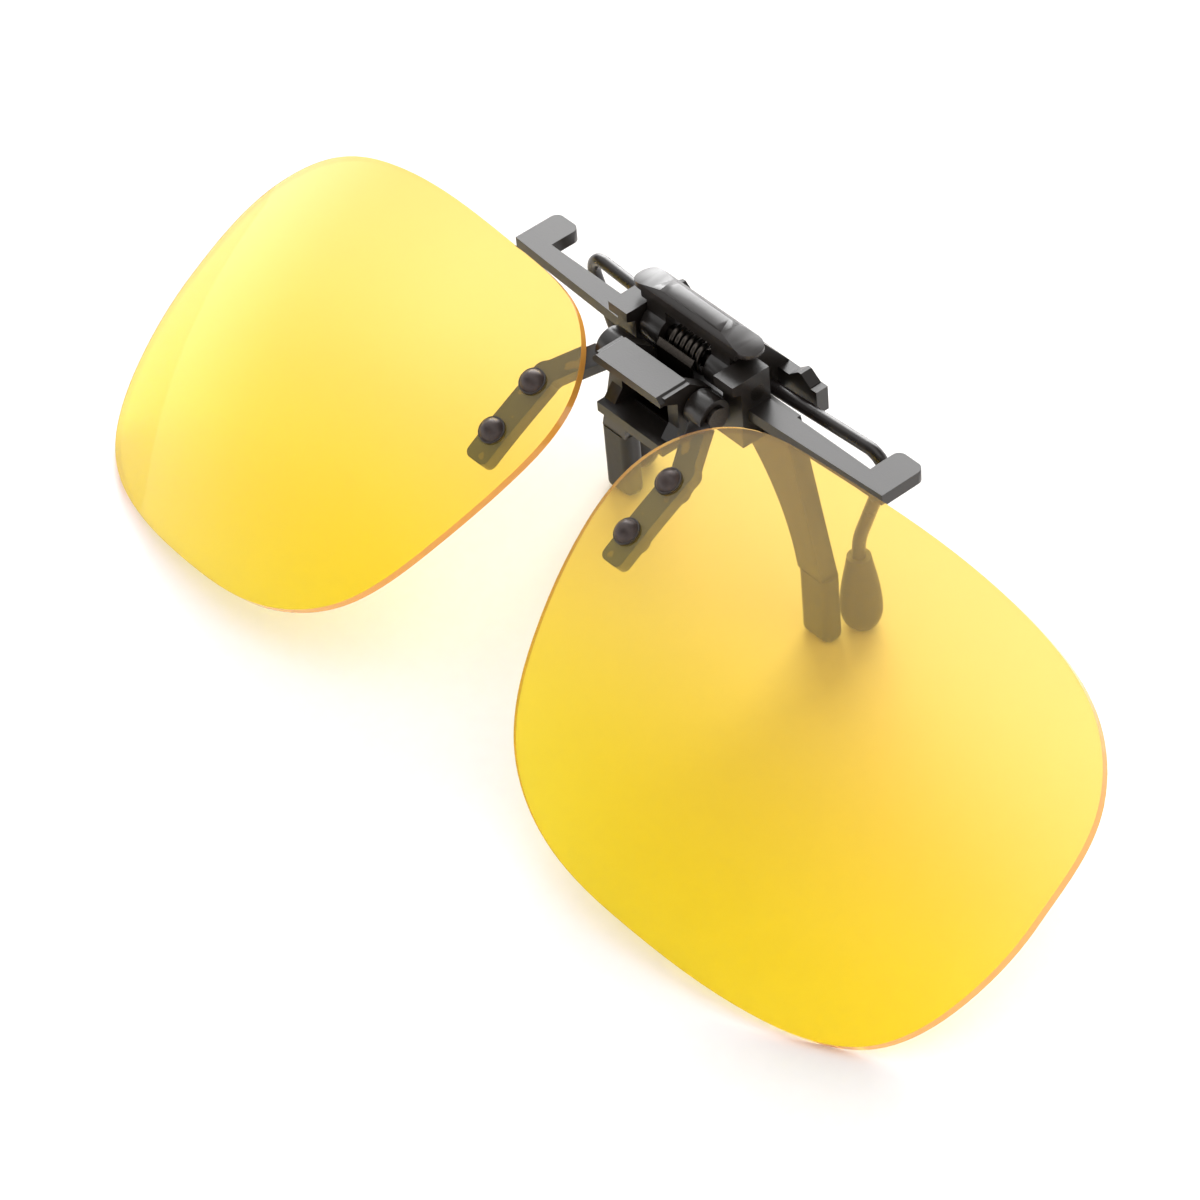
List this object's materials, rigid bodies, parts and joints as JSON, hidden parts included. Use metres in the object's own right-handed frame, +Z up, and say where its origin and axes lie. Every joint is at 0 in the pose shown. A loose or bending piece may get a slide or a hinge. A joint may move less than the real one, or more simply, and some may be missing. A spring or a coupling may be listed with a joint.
{
  "type": "clip on sunglasses",
  "caption": "Flip-up clip-on sunglasses with curved rimless yellow lenses on hinged arms and a spring clip with hooks and sleeved jaws.",
  "frame": {"origin": "middle of the footprint, on the surface that the clip stands on", "axes": "+X runs along the lens pair to the right of someone who looks at the clip from in front, and parts named right are on that side, +Y points back towards the wearer's face, +Z is up as the clip stands on its jaw feet and lens edges"},
  "size_m": [0.1302, 0.0484, 0.0346],
  "materials": {
    "yellow_lens": "transparent yellow, gradient",
    "black_plastic": "satin moulded nylon",
    "pad_gloss": "glossy",
    "black_wire": "black coated spring wire",
    "pin_black": "black oxide",
    "steel": "dark steel",
    "sleeve_rubber": "matte",
    "washer": "soft nylon"
  },
  "bodies": {
    "clip": {"front_frame": "black_plastic", "front_sleeve_left": "sleeve_rubber", "front_sleeve_right": "sleeve_rubber", "jaw_pin": "steel", "jaw_spring": "steel", "detent_spring": "steel"},
    "jaw": {"jaw_lever": "black_plastic", "thumb_pad": "pad_gloss", "wire_prong_left": "black_wire", "wire_prong_right": "black_wire", "rear_sleeve_left": "sleeve_rubber", "rear_sleeve_right": "sleeve_rubber"},
    "lens_set": {"flip_axle": "steel", "detent_cam": "black_plastic", "lens_arm_left": "black_plastic", "lens_left": "yellow_lens", "lens_pin_upper_left": "pin_black", "lens_pin_lower_left": "pin_black", "pin_washer_upper_left": "washer", "pin_washer_lower_left": "washer", "lens_arm_right": "black_plastic", "lens_right": "yellow_lens", "lens_pin_upper_right": "pin_black", "lens_pin_lower_right": "pin_black", "pin_washer_upper_right": "washer", "pin_washer_lower_right": "washer"}
  },
  "joints": [
    {"name": "lens_flip", "type": "hinge", "parent": "clip", "child": "lens_set", "pos_m": [0, 0.0124, 0.0281], "axis": [-1, 0, 0], "range_deg": [-56.3, 33.7]},
    {"name": "jaw_open", "type": "hinge", "parent": "clip", "child": "jaw", "pos_m": [0, 0.0168, 0.0294], "axis": [1, 0, 0], "range_deg": [0, 12], "stiffness_Nm_per_rad": 0.02, "springref_deg": -28.65}
  ]
}
